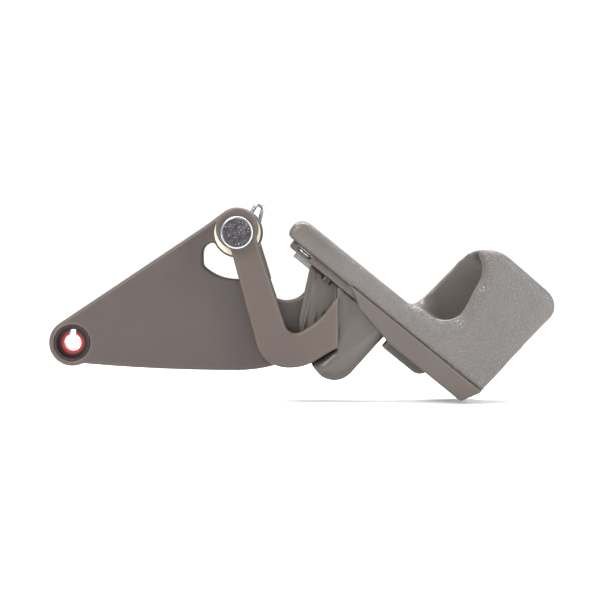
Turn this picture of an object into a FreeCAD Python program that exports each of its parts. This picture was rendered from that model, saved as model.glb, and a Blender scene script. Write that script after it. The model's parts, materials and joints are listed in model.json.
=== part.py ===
import FreeCAD, Part
import math
import os
import Sketcher

# A rope grab.  The lever hangs between two arms on a clevis pin and presses its toothed cam
# against a rope that runs under the handle rail.  All lengths are millimetres.
# World frame: origin at the centre of the lanyard eye, X along the grab, Y along the pin, Z up.
# Rail frame: the same Y, X down the rail and Z out of its top, set by rail_x, rail_z, rail_angle.

Vector = FreeCAD.Vector
Y_AXIS = Vector(0, 1, 0)

SIZES = {
    # clevis pin, its washers and the lever boss
    "pin_x": 65.2, "pin_z": 43.3, "pin_radius": 4.75, "pin_head_radius": 6.35,
    "pin_head_length": 3.2, "pin_tail_y": 21.5, "pin_edge": 0.6, "running_fit": 0.05,
    "pin_face_radius": 5.6, "pin_face_depth": 0.35,
    "bush_radius": 6.3, "spacer_radius": 9.0, "rear_spacer_radius": 6.6, "tail_washer_radius": 8.4,
    "tail_washer_length": 1.5, "face_gap": 0.1, "boss_radius": 9.9,
    # layers across the grab, measured from its middle plane
    "lever_half": 5.5, "channel_half": 6.5, "cheek_half": 9.0, "arm_outer": 15.5,
    "lobe_half": 14.0, "plate_half": 14.0, "rail_half": 17.0,
    # lever
    "eye_radius": 9.2, "eye_bore_radius": 7.0, "lever_edge": 0.9, "lever_sweep_radius": 54.2,
    "gap_corner_radius": 4.2, "gap_sweep_radius": 18.1, "notch_radius": 9.2,
    "cup_radius": 7.0, "cup_bore_radius": 6.1, "sleeve_face_y": -1.0, "sleeve_hole_radius": 3.3,
    "keyway_half": 1.2, "keyway_top": 5.2,
    # cam insert, in the rail frame
    "cam_left_x": 21.0, "cam_right_x": 36.0, "cam_foot_z": -17.0, "cam_top_z": -9.2,
    "cam_half": 3.5, "cam_tooth_pitch": 2.5, "cam_tooth_depth": 1.1, "cam_teeth": 5.0,
    "cam_pin_radius": 1.25, "cam_pin_z": -14.0, "cam_pin_inset": 3.5,
    # arms
    "arm_boss_radius": 8.35, "arm_boss_rise": 1.6, "arm_edge": 0.7, "elbow_outer_radius": 13.0,
    "elbow_under_radius": 20.0, "elbow_inner_radius": 4.2, "gusset_radius": 26.0,
    "stop_pin_radius": 2.0, "stop_pin_depth": 3.0,
    "arm_screw_radius": 1.5, "arm_screw_head_radius": 2.7, "arm_screw_left_x": 97.0, "arm_screw_left_z": 3.2,
    "arm_screw_right_x": 100.0, "arm_screw_right_z": 10.6,
    # a cut of this length passes through any piece
    "through_cut": 300.0,
    # rail frame
    "rail_x": 85.0, "rail_z": 42.75, "rail_angle": 39.1,
    # throat housing, in the rail frame
    "toe_radius": 9.0, "lobe_edge": 3.0,
    # cover and finger loop, in the rail frame
    "nose_low_radius": 3.0, "nose_top_radius": 5.0, "loop_root_radius": 2.5,
    "loop_crown_radius": 13.0, "loop_brow_radius": 8.0, "grip_edge": 2.4,
    "tunnel_half": 14.0, "tunnel_floor": 11.0, "tunnel_roof": 43.2, "tunnel_corner": 8.0,
    "lip_radius": 8.5,
    # skirt frame, in the rail frame
    "plate_left_x": 3.2, "plate_split_x": 31.0, "plate_tongue": 6.5, "plate_depth": 3.5,
    "plate_corner": 6.0, "skirt_inner_half": 14.3, "skirt_inner_end": 93.6,
    "slot_left_x": 6.0, "slot_right_x": 13.0, "slot_top_z": -0.9, "slot_foot_z": -2.5,
    # rope shoe and tail guide, in the rail frame
    "shoe_left_x": 7.0, "shoe_right_x": 52.0, "shoe_half": 6.3, "shoe_depth": 2.0,
    "rope_radius": 6.0, "rope_bite": 0.7, "guide_left_x": 57.0, "guide_right_x": 76.0,
    "guide_half": 11.5, "guide_inner_half": 7.0, "guide_foot_z": -11.0, "guide_web": 1.8,
    "guide_corner": 4.5,
    # screws under the rail
    "screw_radius": 1.5, "screw_head_radius": 2.2, "screw_head_height": 1.7, "screw_length": 8.0,
    "shoe_screw_seat_z": -3.1, "shoe_screw_left_x": 16.0, "shoe_screw_right_x": 46.0, "plate_screw_x": 23.0,
    "plate_screw_y": 11.4, "tail_screw_x": 86.0, "tail_screw_y": 9.0,
    # return spring
    "spring_wire_radius": 0.45, "spring_coil_radius": 7.6, "spring_pitch": 1.0, "spring_turns": 1.75,
    "spring_leg": 6.0,
    # hitch clip
    "clip_wire_radius": 0.9, "clip_y": 18.4, "clip_hole_radius": 1.0,
}

# Named outline points.  Names give world or rail X and Z; both go into the sheet.
POINTS = {
    # lever, world frame
    "eye_left": (-9.2, 0.0), "shoulder": (52.7, 46.3), "gap_foot": (51.7, 30.6), "gap_low": (65.3, 25.1),
    "notch_left": (78.0, 19.3), "nose_left": (93.1, 22.85),
    # arms, world frame
    "neck_left": (61.9, 40.0), "elbow_outer": (75.2, -9.4), "elbow_under": (91.2, -9.4),
    "root_low": (104.15, -1.5), "root_high": (104.15, 18.6), "gusset": (97.3, 9.3),
    "elbow_inner": (85.7, 1.9), "neck_right": (71.9, 43.3), "arm_heart": (66.0, 46.0),
    "stop_pin": (75.0, 22.98),
    # throat housing, rail frame
    "column_top": (14.3, -3.55), "column_mid": (20.7, -16.4), "column_low": (24.5, -23.8),
    "heel": (31.5, -31.0), "sole": (44.4, -35.0), "toe": (53.4, -26.0), "exit_top": (54.5, -3.55),
    "lobe_top": (27.6, -3.55), "lobe_fork": (42.8, -22.2), "lobe_under": (41.3, -28.0),
    "lobe_heel": (39.2, -34.0),
    "cut_left_top": (-5.0, 6.0), "cut_right_top": (62.0, 6.0), "mouth_out": (62.0, -17.8),
    "mouth_in": (51.3, -17.8), "well_right": (50.4, -26.0), "well_toe": (44.5, -32.0),
    "well_lip": (36.4, -31.6), "cut_lip": (33.0, -42.0), "cut_left_low": (-5.0, -42.0),
    # cover and loop, rail frame
    "grip_foot": (-0.9, 0.0), "grip_nose": (-0.9, 8.7), "loop_root": (57.0, 8.7),
    "loop_crown": (60.6, 47.7), "loop_brow": (101.2, 46.4), "grip_end": (97.2, 0.0),
    "lip_start": (48.0, 10.6), "lip_foot": (73.4, 10.6), "lip_head": (67.4, 40.6),
    "lip_finish": (48.0, 40.6),
    # skirt side, rail frame
    "skirt_top_left": (31.0, 0.0), "skirt_cheek": (35.0, -2.0), "skirt_drop": (39.6, -5.0),
    "skirt_belly": (50.4, -6.8), "skirt_low_left": (57.0, -8.2), "skirt_low_right": (93.2, -8.2),
    "skirt_end": (96.4, -2.0), "skirt_top_right": (97.2, 0.0),
}


def rail_point(x, z):
    """World X and Z of a point given in the rail frame."""
    angle = math.radians(SIZES["rail_angle"])
    world_x = SIZES["rail_x"] + x * math.cos(angle) + z * math.sin(angle)
    world_z = SIZES["rail_z"] - x * math.sin(angle) + z * math.cos(angle)
    return world_x, world_z


def on_circle(centre_name, radius_name, degrees):
    """World X and Z on a circle round a named point, anticlockwise from +X."""
    centre_x = SIZES.get(centre_name + "_x", 0.0)
    centre_z = SIZES.get(centre_name + "_z", 0.0)
    angle = math.radians(degrees)
    radius = SIZES[radius_name]
    return centre_x + radius * math.cos(angle), centre_z + radius * math.sin(angle)


def round_corner(name, before, after, radius_name):
    """Adds NAME_in and NAME_out, the ends of a tangent arc at a named corner."""
    corner = Vector(*POINTS[name], 0)
    back = (Vector(*POINTS[before], 0) - corner).normalize()
    ahead = (Vector(*POINTS[after], 0) - corner).normalize()
    reach = SIZES[radius_name] / math.tan(back.getAngle(ahead) / 2)
    for end, way in (("_in", back), ("_out", ahead)):
        place = corner + way * reach
        POINTS[name + end] = (place.x, place.y)


POINTS["eye_bottom"] = on_circle("eye", "eye_radius", -62.8)
POINTS["eye_top"] = on_circle("eye", "eye_radius", 123.8)
POINTS["crest"] = on_circle("pin", "boss_radius", 129.7)
POINTS["boss_right"] = on_circle("pin", "boss_radius", 0)
POINTS["boss_low"] = on_circle("pin", "boss_radius", 203.2)
POINTS["nose_right"] = on_circle("pin", "lever_sweep_radius", -37.3)
POINTS["sweep_start"] = on_circle("pin", "lever_sweep_radius", -90)
belly_drop = POINTS["eye_bottom"][1] - POINTS["sweep_start"][1]
belly_run = POINTS["sweep_start"][0] - POINTS["eye_bottom"][0]
SIZES["lever_belly_radius"] = (belly_drop ** 2 + belly_run ** 2) / (2 * belly_drop)
gap_centre_x = POINTS["gap_foot"][0] + SIZES["gap_corner_radius"]
gap_rise = math.sqrt(SIZES["gap_corner_radius"] ** 2 - (POINTS["boss_low"][0] - gap_centre_x) ** 2)
POINTS["gap_top"] = (POINTS["gap_foot"][0], POINTS["boss_low"][1] - gap_rise)
round_corner("elbow_outer", "neck_left", "elbow_under", "elbow_outer_radius")
round_corner("elbow_under", "elbow_outer", "root_low", "elbow_under_radius")
round_corner("gusset", "elbow_inner", "root_high", "gusset_radius")
round_corner("elbow_inner", "gusset", "neck_right", "elbow_inner_radius")
round_corner("grip_foot", "grip_end", "grip_nose", "nose_low_radius")
round_corner("grip_nose", "grip_foot", "loop_root", "nose_top_radius")
round_corner("loop_root", "grip_nose", "loop_crown", "loop_root_radius")
round_corner("loop_crown", "loop_root", "loop_brow", "loop_crown_radius")
round_corner("loop_brow", "loop_crown", "grip_end", "loop_brow_radius")
for number, (side, level) in enumerate(
        ((-1, "tunnel_floor"), (-1, "tunnel_roof"), (1, "tunnel_roof"), (1, "tunnel_floor")), start=1):
    POINTS["tunnel_%d" % number] = (side * SIZES["tunnel_half"], SIZES[level])
for number in (1, 2, 3, 4):
    before = "tunnel_%d" % ((number + 2) % 4 + 1)
    after = "tunnel_%d" % (number % 4 + 1)
    round_corner("tunnel_%d" % number, before, after, "tunnel_corner")
round_corner("lip_foot", "lip_start", "lip_head", "lip_radius")
round_corner("lip_head", "lip_foot", "lip_finish", "lip_radius")
for side in ("left", "right"):
    for level in ("foot", "top"):
        corner = rail_point(SIZES["cam_" + side + "_x"], SIZES["cam_" + level + "_z"])
        POINTS["cam_pocket_" + side + "_" + level] = corner
for name, (point_x, point_z) in POINTS.items():
    SIZES[name + "_x"] = point_x
    SIZES[name + "_z"] = point_z

doc = FreeCAD.newDocument("RopeGrab")
sheet = doc.addObject("Spreadsheet::Sheet", "Sizes")
for row, (name, value) in enumerate(SIZES.items(), start=1):
    sheet.set("A%d" % row, name)
    sheet.set("B%d" % row, "%.6f" % value)
    sheet.setAlias("B%d" % row, name)
doc.recompute()

WORLD = FreeCAD.Placement()
RAIL = FreeCAD.Placement(
    Vector(SIZES["rail_x"], 0, SIZES["rail_z"]),
    FreeCAD.Rotation(Y_AXIS, SIZES["rail_angle"]))


def derived(name, value):
    """Adds a worked-out size to the sheet."""
    SIZES[name] = value
    row = len(SIZES)
    sheet.set("A%d" % row, name)
    sheet.set("B%d" % row, "%.6f" % value)
    sheet.setAlias("B%d" % row, name)


def cell(name):
    """The expression for a sheet cell; a leading minus is kept."""
    if name.startswith("-"):
        return "-Sizes." + name[1:]
    return "Sizes." + name


def size(name):
    """The number in a sheet cell; a leading minus is kept."""
    if name.startswith("-"):
        return -SIZES[name[1:]]
    return SIZES[name]


def new_body(label, placement=WORLD):
    body = doc.addObject("PartDesign::Body", label)
    body.Label = label
    body.Placement = placement
    return body


def new_sketch(body, role="XZ_Plane", offset=None):
    """A sketch on one of the body's own planes, moved along its normal by an expression."""
    sketch = body.newObject("Sketcher::SketchObject", body.Name + "_sketch")
    plane = [item for item in body.Origin.OriginFeatures if item.Role == role][0]
    sketch.AttachmentSupport = [(plane, "")]
    sketch.MapMode = "FlatFace"
    if offset:
        sketch.setExpression("AttachmentOffset.Base.z", offset)
    doc.recompute()
    return sketch


def bind(sketch, kind, item, end, value_name):
    """A dimension that follows a sheet cell."""
    value = size(value_name)
    if end is None:
        index = sketch.addConstraint(Sketcher.Constraint(kind, item, value))
    else:
        index = sketch.addConstraint(Sketcher.Constraint(kind, item, end, value))
    sketch.setExpression("Constraints[%d]" % index, cell(value_name))


def bind_point(sketch, item, end, x_name, y_name):
    bind(sketch, "DistanceX", item, end, x_name)
    bind(sketch, "DistanceY", item, end, y_name)


def minor_arc(start, finish, radius, turn):
    """The short arc between two points; turn is +1 where it bulges left of the way."""
    chord = finish - start
    left = Vector(-chord.y, chord.x, 0).normalize()
    half = chord.Length / 2
    centre = (start + finish) * 0.5 - left * (math.sqrt(radius * radius - half * half) * turn)
    first, last = (finish, start) if turn > 0 else (start, finish)
    angles = [math.atan2(end.y - centre.y, end.x - centre.x) for end in (first, last)]
    return Part.ArcOfCircle(Part.Circle(centre, Vector(0, 0, 1), radius), *angles)


def named_point(name):
    return Vector(SIZES[name + "_x"], SIZES[name + "_z"], 0)


def outline(sketch, start, steps):
    """A closed outline of named points.  A step is (point) or (point, radius cell, turn)."""
    here = start
    ends = []
    for step in steps:
        there = step[0]
        a = named_point(here)
        b = named_point(there)
        if len(step) == 1:
            item = sketch.addGeometry(Part.LineSegment(a, b), False)
            ends.append((item, 1, 2))
        else:
            arc = minor_arc(a, b, size(step[1]), step[2])
            item = sketch.addGeometry(arc, False)
            ends.append((item, 2, 1) if step[2] > 0 else (item, 1, 2))
            bind(sketch, "Radius", item, None, step[1])
        bind_point(sketch, item, ends[-1][2], there + "_x", there + "_z")
        here = there
    for (item, first, last), (after, after_first, after_last) in zip(ends, ends[1:] + ends[:1]):
        joint = Sketcher.Constraint("Coincident", item, last, after, after_first)
        sketch.addConstraint(joint)


def circle(sketch, x_name, y_name, radius_name, x=None, y=None):
    centre = Vector(size(x_name) if x_name else 0, size(y_name) if y_name else 0, 0)
    item = sketch.addGeometry(Part.Circle(centre, Vector(0, 0, 1), size(radius_name)), False)
    bind(sketch, "Radius", item, None, radius_name)
    for kind, name in (("DistanceX", x_name), ("DistanceY", y_name)):
        if name:
            bind(sketch, kind, item, 3, name)
        else:
            sketch.addConstraint(Sketcher.Constraint(kind, item, 3, 0))


def rectangle(sketch, left, right, low, high):
    """A rectangle whose four sides follow sheet cells."""
    names = [(left, low), (right, low), (right, high), (left, high)]
    corners = [Vector(size(x), size(y), 0) for x, y in names]
    items = []
    for index in range(4):
        line = Part.LineSegment(corners[index], corners[(index + 1) % 4])
        items.append(sketch.addGeometry(line, False))
    for index in range(4):
        after = items[(index + 1) % 4]
        sketch.addConstraint(Sketcher.Constraint("Coincident", items[index], 2, after, 1))
        bind_point(sketch, items[index], 1, *names[index])


def pad(body, sketch, length, both_ways=False, toward_back=False):
    """Length is an expression.  A pad from the XZ plane runs towards the front, -Y."""
    feature = body.newObject("PartDesign::Pad", body.Name + "_pad")
    feature.Profile = sketch
    feature.SideType = "Symmetric" if both_ways else "One side"
    feature.Reversed = toward_back
    feature.setExpression("Length", length)
    doc.recompute()
    return feature


def pocket(body, sketch, length=None, both_ways=False, flip=False):
    """Cuts right through where no length is given.  The volume must shrink."""
    before = body.Shape.Volume
    feature = body.newObject("PartDesign::Pocket", body.Name + "_pocket")
    feature.Profile = sketch
    feature.SideType = "Symmetric" if both_ways else "One side"
    feature.Reversed = flip
    feature.setExpression("Length", length or cell("through_cut"))
    doc.recompute()
    if body.Shape.Volume > before - 1e-3:
        raise ValueError("this pocket cuts nothing: " + feature.Name)
    return feature


def edges_where(feature, wanted):
    return ["Edge%d" % number for number, edge in enumerate(feature.Shape.Edges, start=1)
            if wanted(edge)]


def fillet(body, wanted, radius_name, kind="PartDesign::Fillet"):
    """Rounds the chosen edges of the body's tip."""
    base = body.Tip
    feature = body.newObject(kind, body.Name + "_edge")
    feature.Base = (base, edges_where(base, wanted))
    feature.setExpression("Radius" if kind.endswith("Fillet") else "Size", cell(radius_name))
    doc.recompute()
    if "Invalid" in feature.State:
        raise ValueError("this edge can't be rounded: " + feature.Name)
    return feature


def box_of(edge):
    return edge.BoundBox


def at_face(y):
    """Edges that lie in a plane across the grab."""
    return lambda edge: abs(box_of(edge).YMin - y) < 1e-4 and abs(box_of(edge).YMax - y) < 1e-4


def across(x, z, reach=0.2):
    """Edges that run along Y through a point."""
    def wanted(edge):
        box = box_of(edge)
        thin = box.XLength < 0.01 and box.ZLength < 0.01 and box.YLength > 0.5
        return thin and abs(box.XMin - x) < reach and abs(box.ZMin - z) < reach
    return wanted


def slab(body, near, far):
    """A sketch for a slab that reaches from one Y to another, both expressions."""
    sketch = new_sketch(body, offset="-(%s)" % near)
    return sketch, "%s - (%s)" % (far, near)


def disc(label, x_name, z_name, radius, bore, near, far, edge=None):
    """A washer, bush or bar on an axis along Y, from one Y to another."""
    body = new_body(label)
    sketch, length = slab(body, near, far)
    circle(sketch, x_name, z_name, radius)
    if bore:
        circle(sketch, x_name, z_name, bore)
    pad(body, sketch, length, toward_back=True)
    if edge:
        fillet(body, lambda item: True, edge, "PartDesign::Chamfer")
    return body


def lever_plate():
    """C-shaped plate: eye at the left, boss on the pin, lower limb with the cam nose."""
    body = new_body("lever_plate")
    sketch = new_sketch(body)
    outline(sketch, "eye_bottom", [
        ("eye_left", "eye_radius", 1), ("eye_top", "eye_radius", 1),
        ("shoulder",), ("crest",), ("boss_right", "boss_radius", 1),
        ("boss_low", "boss_radius", 1), ("gap_top", "gap_corner_radius", -1),
        ("gap_foot",), ("gap_low", "gap_sweep_radius", -1), ("notch_left",),
        ("nose_left", "notch_radius", -1), ("nose_right",),
        ("sweep_start", "lever_sweep_radius", 1), ("eye_bottom", "lever_belly_radius", 1)])
    blank = pad(body, sketch, "2 * Sizes.lever_half", both_ways=True)
    front = at_face(-SIZES["lever_half"])
    back = at_face(SIZES["lever_half"])
    fillet(body, lambda edge: front(edge) or back(edge), "lever_edge", "PartDesign::Chamfer")
    holes = new_sketch(body)
    circle(holes, None, None, "eye_bore_radius")
    circle(holes, "pin_x", "pin_z", "bush_radius")
    for side in ("left", "right"):
        circle(holes, "cam_pin_%s_x" % side, "cam_pin_%s_z" % side, "cam_pin_radius")
    pocket(body, holes, both_ways=True)
    socket = new_sketch(body)
    outline(socket, "cam_pocket_left_foot", [
        ("cam_pocket_left_top",), ("cam_pocket_right_top",), ("cam_pocket_right_foot",),
        ("cam_pocket_left_foot",)])
    pocket(body, socket, "2 * Sizes.cam_half", both_ways=True)
    return blank


def cam_insert():
    """Hardened block in the nose, its top cut into a row of teeth."""
    body = new_body("cam_insert", RAIL)
    block = new_sketch(body)
    rectangle(block, "cam_left_x", "cam_right_x", "cam_foot_z", "cam_top_z")
    pad(body, block, "2 * Sizes.cam_half", both_ways=True)
    groove = new_sketch(body)
    outline(groove, "tooth_left", [("tooth_right",), ("tooth_root",), ("tooth_left",)])
    cut = pocket(body, groove, both_ways=True)
    row = body.newObject("PartDesign::LinearPattern", "cam_teeth_row")
    row.Originals = [cut]
    row.Direction = (body.Origin.OriginFeatures[0], [""])
    row.setExpression("Length", "Sizes.cam_tooth_pitch * (Sizes.cam_teeth - 1)")
    row.setExpression("Occurrences", cell("cam_teeth"))
    body.Tip = row
    doc.recompute()
    holes = new_sketch(body)
    for side in ("left", "right"):
        circle(holes, "cam_pin_%s_rail_x" % side, "cam_pin_z", "cam_pin_radius")
    pocket(body, holes, both_ways=True)


def cam_pins():
    """Two cross pins that hold the cam insert; one node, two solids."""
    pins = []
    for side in ("left", "right"):
        pin = doc.addObject("Part::Cylinder", "cam_pin_" + side)
        pin.setExpression("Radius", cell("cam_pin_radius"))
        pin.setExpression("Height", "2 * Sizes.lever_half")
        pin.setExpression("Placement.Base.x", cell("cam_pin_%s_x" % side))
        pin.setExpression("Placement.Base.y", cell("lever_half"))
        pin.setExpression("Placement.Base.z", cell("cam_pin_%s_z" % side))
        pin.Placement = FreeCAD.Placement(pin.Placement.Base, FreeCAD.Rotation(Vector(1, 0, 0), 90))
        pins.append(pin)
    return group("cam_pins", pins)


def group(label, pieces):
    """Separate solids under one name."""
    compound = doc.addObject("Part::Compound", label)
    compound.Label = label
    compound.Links = pieces
    doc.recompute()
    return compound


def eye_cup():
    """Dark liner pressed into the eye, proud of neither face."""
    disc("eye_cup", None, None, "cup_radius", "cup_bore_radius",
         "-Sizes.lever_half", "Sizes.lever_half")


def eye_sleeve():
    """Red sleeve with a keyhole, set back in the liner."""
    body = new_body("eye_sleeve")
    sketch, length = slab(body, "Sizes.sleeve_face_y", "Sizes.lever_half")
    circle(sketch, None, None, "sleeve_radius")
    pad(body, sketch, length, toward_back=True)
    hole = new_sketch(body)
    circle(hole, None, None, "sleeve_hole_radius")
    pocket(body, hole, both_ways=True)
    keyway = new_sketch(body)
    rectangle(keyway, "-keyway_half", "keyway_half", "origin_level", "keyway_top")
    pocket(body, keyway, both_ways=True)


def arm(label, towards_front):
    """One of the two bent arms that carry the pin; its outer face has rounded edges."""
    body = new_body(label)
    if towards_front:
        near, far = "-Sizes.arm_outer", "-Sizes.cheek_half"
        outer = -SIZES["arm_outer"]
        inner = "-Sizes.cheek_half"
    else:
        near, far = "Sizes.cheek_half", "Sizes.arm_outer"
        outer = SIZES["arm_outer"]
        inner = "Sizes.cheek_half"
    sketch, length = slab(body, near, far)
    outline(sketch, "neck_left", [
        ("arm_heart",), ("neck_right",), ("elbow_inner_out",),
        ("elbow_inner_in", "elbow_inner_radius", -1), ("gusset_in",),
        ("gusset_out", "gusset_radius", -1), ("root_high",), ("root_low",),
        ("elbow_under_out",), ("elbow_under_in", "elbow_under_radius", 1),
        ("elbow_outer_out",), ("elbow_outer_in", "elbow_outer_radius", 1), ("neck_left",)])
    pad(body, sketch, length, toward_back=True)
    ring, length = slab(body, near, far)
    circle(ring, "pin_x", "boss_centre_z", "arm_boss_radius")
    pad(body, ring, length, toward_back=True)
    fillet(body, at_face(outer), "arm_edge", "PartDesign::Chamfer")
    bore = new_sketch(body)
    circle(bore, "pin_x", "pin_z", "pin_radius")
    pocket(body, bore, both_ways=True)
    hole = new_sketch(body, offset="-(%s)" % inner)
    circle(hole, "stop_pin_x", "stop_pin_z", "stop_pin_radius")
    pocket(body, hole, "2 * Sizes.stop_pin_depth", both_ways=True)
    return body


def arm_screws():
    """Four countersunk screws from inside the throat into the roots of the arms."""
    screws = []
    for side in (-1, 1):
        for place in ("left", "right"):
            name = "arm_screw_%s_%s" % ("front" if side < 0 else "back", place)
            head = doc.addObject("Part::Cone", name + "_head")
            head.setExpression("Radius1", cell("arm_screw_head_radius"))
            head.setExpression("Radius2", cell("arm_screw_radius"))
            head.setExpression("Height", "Sizes.cheek_half - Sizes.channel_half")
            shank = doc.addObject("Part::Cylinder", name + "_shank")
            shank.setExpression("Radius", cell("arm_screw_radius"))
            shank.setExpression("Height", "Sizes.arm_half_gap - Sizes.cheek_half")
            shank.setExpression("Placement.Base.z", "Sizes.cheek_half - Sizes.channel_half")
            screw = doc.addObject("Part::Fuse", name)
            screw.Base = head
            screw.Tool = shank
            base = Vector(size("arm_screw_%s_x" % place), side * size("channel_half"),
                          size("arm_screw_%s_z" % place))
            turn = FreeCAD.Rotation(Vector(0, 0, 1), Vector(0, side, 0))
            screw.Placement = FreeCAD.Placement(base, turn)
            screws.append(screw)
    group("arm_screws", screws)


def throat_housing():
    """U-shaped trough: two cheeks, a floor and a rounded lobe, open at both ends."""
    body = new_body("throat_housing", RAIL)
    cheeks = new_sketch(body)
    outline(cheeks, "column_top", [
        ("exit_top",), ("toe",), ("sole", "toe_radius", 1), ("heel",), ("column_low",),
        ("column_mid",), ("column_top",)])
    pad(body, cheeks, "2 * Sizes.cheek_half", both_ways=True)
    lobe = new_sketch(body)
    outline(lobe, "lobe_top", [
        ("exit_top",), ("toe",), ("sole", "toe_radius", 1), ("lobe_heel",), ("lobe_under",),
        ("lobe_fork",), ("lobe_top",)])
    pad(body, lobe, "2 * Sizes.lobe_half", both_ways=True)
    face = size("lobe_half")

    def rounded(edge):
        if not (at_face(-face)(edge) or at_face(face)(edge)):
            return False
        middle = edge.valueAt((edge.FirstParameter + edge.LastParameter) / 2)
        return middle.z < size("well_right_z") or middle.x > size("well_right_x")
    fillet(body, rounded, "lobe_edge")
    channel = new_sketch(body)
    outline(channel, "cut_left_top", [
        ("cut_right_top",), ("mouth_out",), ("mouth_in",), ("well_right",),
        ("well_toe", "toe_radius", 1), ("well_lip",), ("cut_lip",), ("cut_left_low",),
        ("cut_left_top",)])
    pocket(body, channel, "2 * Sizes.channel_half", both_ways=True)


def stop_pin():
    """Cross pin in the arms; the lever's lower limb rests against it when closed."""
    disc("stop_pin", "stop_pin_x", "stop_pin_z", "stop_pin_radius", None,
         "-Sizes.arm_half_gap", "Sizes.arm_half_gap")


def pivot_pin():
    """Clevis pin: chamfered head in front, cross hole for the clip behind."""
    body = new_body("pivot_pin")
    shank, length = slab(body, "-Sizes.arm_outer", "Sizes.pin_tail_y")
    circle(shank, "pin_x", "pin_z", "pin_radius")
    pad(body, shank, length, toward_back=True)
    fillet(body, at_face(size("pin_tail_y")), "pin_edge", "PartDesign::Chamfer")
    head, length = slab(body, "-Sizes.pin_head_far", "-Sizes.arm_outer")
    circle(head, "pin_x", "pin_z", "pin_head_radius")
    pad(body, head, length, toward_back=True)
    fillet(body, at_face(-size("pin_head_far")), "pin_edge")
    struck, _ = slab(body, "-Sizes.pin_head_far", "-Sizes.arm_outer")
    circle(struck, "pin_x", "pin_z", "pin_face_radius")
    pocket(body, struck, "2 * Sizes.pin_face_depth", both_ways=True)
    bored = doc.addObject("Part::Cylinder", "clip_bore")
    bored.setExpression("Radius", cell("clip_hole_radius"))
    bored.setExpression("Height", "4 * Sizes.pin_radius")
    base = Vector(size("pin_x"), size("clip_y"), size("pin_z")) - CLIP_WAY * (2 * size("pin_radius"))
    bored.Placement = FreeCAD.Placement(base, FreeCAD.Rotation(Vector(0, 0, 1), CLIP_WAY))
    body.Label = "pin_blank"
    pin = doc.addObject("Part::Cut", "pivot_pin")
    pin.Base = body
    pin.Tool = bored
    pin.Label = "pivot_pin"
    doc.recompute()


CLIP_WAY = Vector(0.526, 0, 0.850).normalize()


def wire_through(points, radii):
    """Straight runs through points, joined by tangent arcs of the given radii."""
    edges = []
    here = points[0]
    for corner, after, radius in zip(points[1:-1], points[2:], radii):
        come = (corner - here).normalize()
        leave = (after - corner).normalize()
        half_turn = come.getAngle(leave) / 2
        reach = radius * math.tan(half_turn)
        start = corner - come * reach
        finish = corner + leave * reach
        inward = (leave - come).normalize()
        centre = corner + inward * (radius / math.cos(half_turn))
        middle = centre - inward * radius
        edges.append(Part.makeLine(here, start))
        edges.append(Part.Arc(start, middle, finish).toShape())
        here = finish
    edges.append(Part.makeLine(here, points[-1]))
    return Part.Wire(edges)


def tube(path, radius):
    """A round wire swept along a path."""
    first = path.Edges[0]
    start = first.valueAt(first.FirstParameter)
    way = first.tangentAt(first.FirstParameter)
    ring = Part.Wire(Part.makeCircle(radius, start, way))
    return path.makePipeShell([ring], True, False)


def hitch_clip():
    """Spring wire clip: a straight leg through the pin, a bend, and a leg hugging its side."""
    pin = Vector(size("pin_x"), size("clip_y"), size("pin_z"))
    aside = Vector(CLIP_WAY.z, 0, -CLIP_WAY.x)
    tail = pin - CLIP_WAY * 8.0
    bend_start = pin + CLIP_WAY * 13.6
    bend_end = bend_start + aside * 2.9 + CLIP_WAY * 0.2
    knee = pin + Vector(6.8, 0, -0.6)
    tip = pin + Vector(12.3, 0, -18.6)
    path = wire_through([tail, bend_start, bend_end, knee, tip], [1.3, 1.3, 3.0])
    clip = doc.addObject("Part::Feature", "hitch_clip")
    clip.Label = "hitch_clip"
    clip.Shape = tube(path, size("clip_wire_radius"))


def lever_spring():
    """Torsion spring round the rear spacer, one leg along the lever and one along the arm."""
    radius = size("spring_coil_radius")
    height = size("spring_pitch") * size("spring_turns")
    coil = Part.makeHelix(size("spring_pitch"), height, radius).Edges[0]
    start = coil.valueAt(coil.FirstParameter)
    finish = coil.valueAt(coil.LastParameter)
    leg = size("spring_leg")
    into = Part.makeLine(start - coil.tangentAt(coil.FirstParameter) * leg, start)
    out = Part.makeLine(finish, finish + coil.tangentAt(coil.LastParameter) * leg)
    spring = doc.addObject("Part::Feature", "lever_spring")
    spring.Label = "lever_spring"
    spring.Shape = tube(Part.Wire([into, coil, out]), size("spring_wire_radius"))
    base = Vector(size("pin_x"), size("lever_half") + size("spring_wire_radius") + 0.35, size("pin_z"))
    lie = FreeCAD.Rotation(Vector(1, 0, 0), -90)
    spin = FreeCAD.Rotation(Y_AXIS, 205)
    spring.Placement = FreeCAD.Placement(base, spin.multiply(lie))


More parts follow.
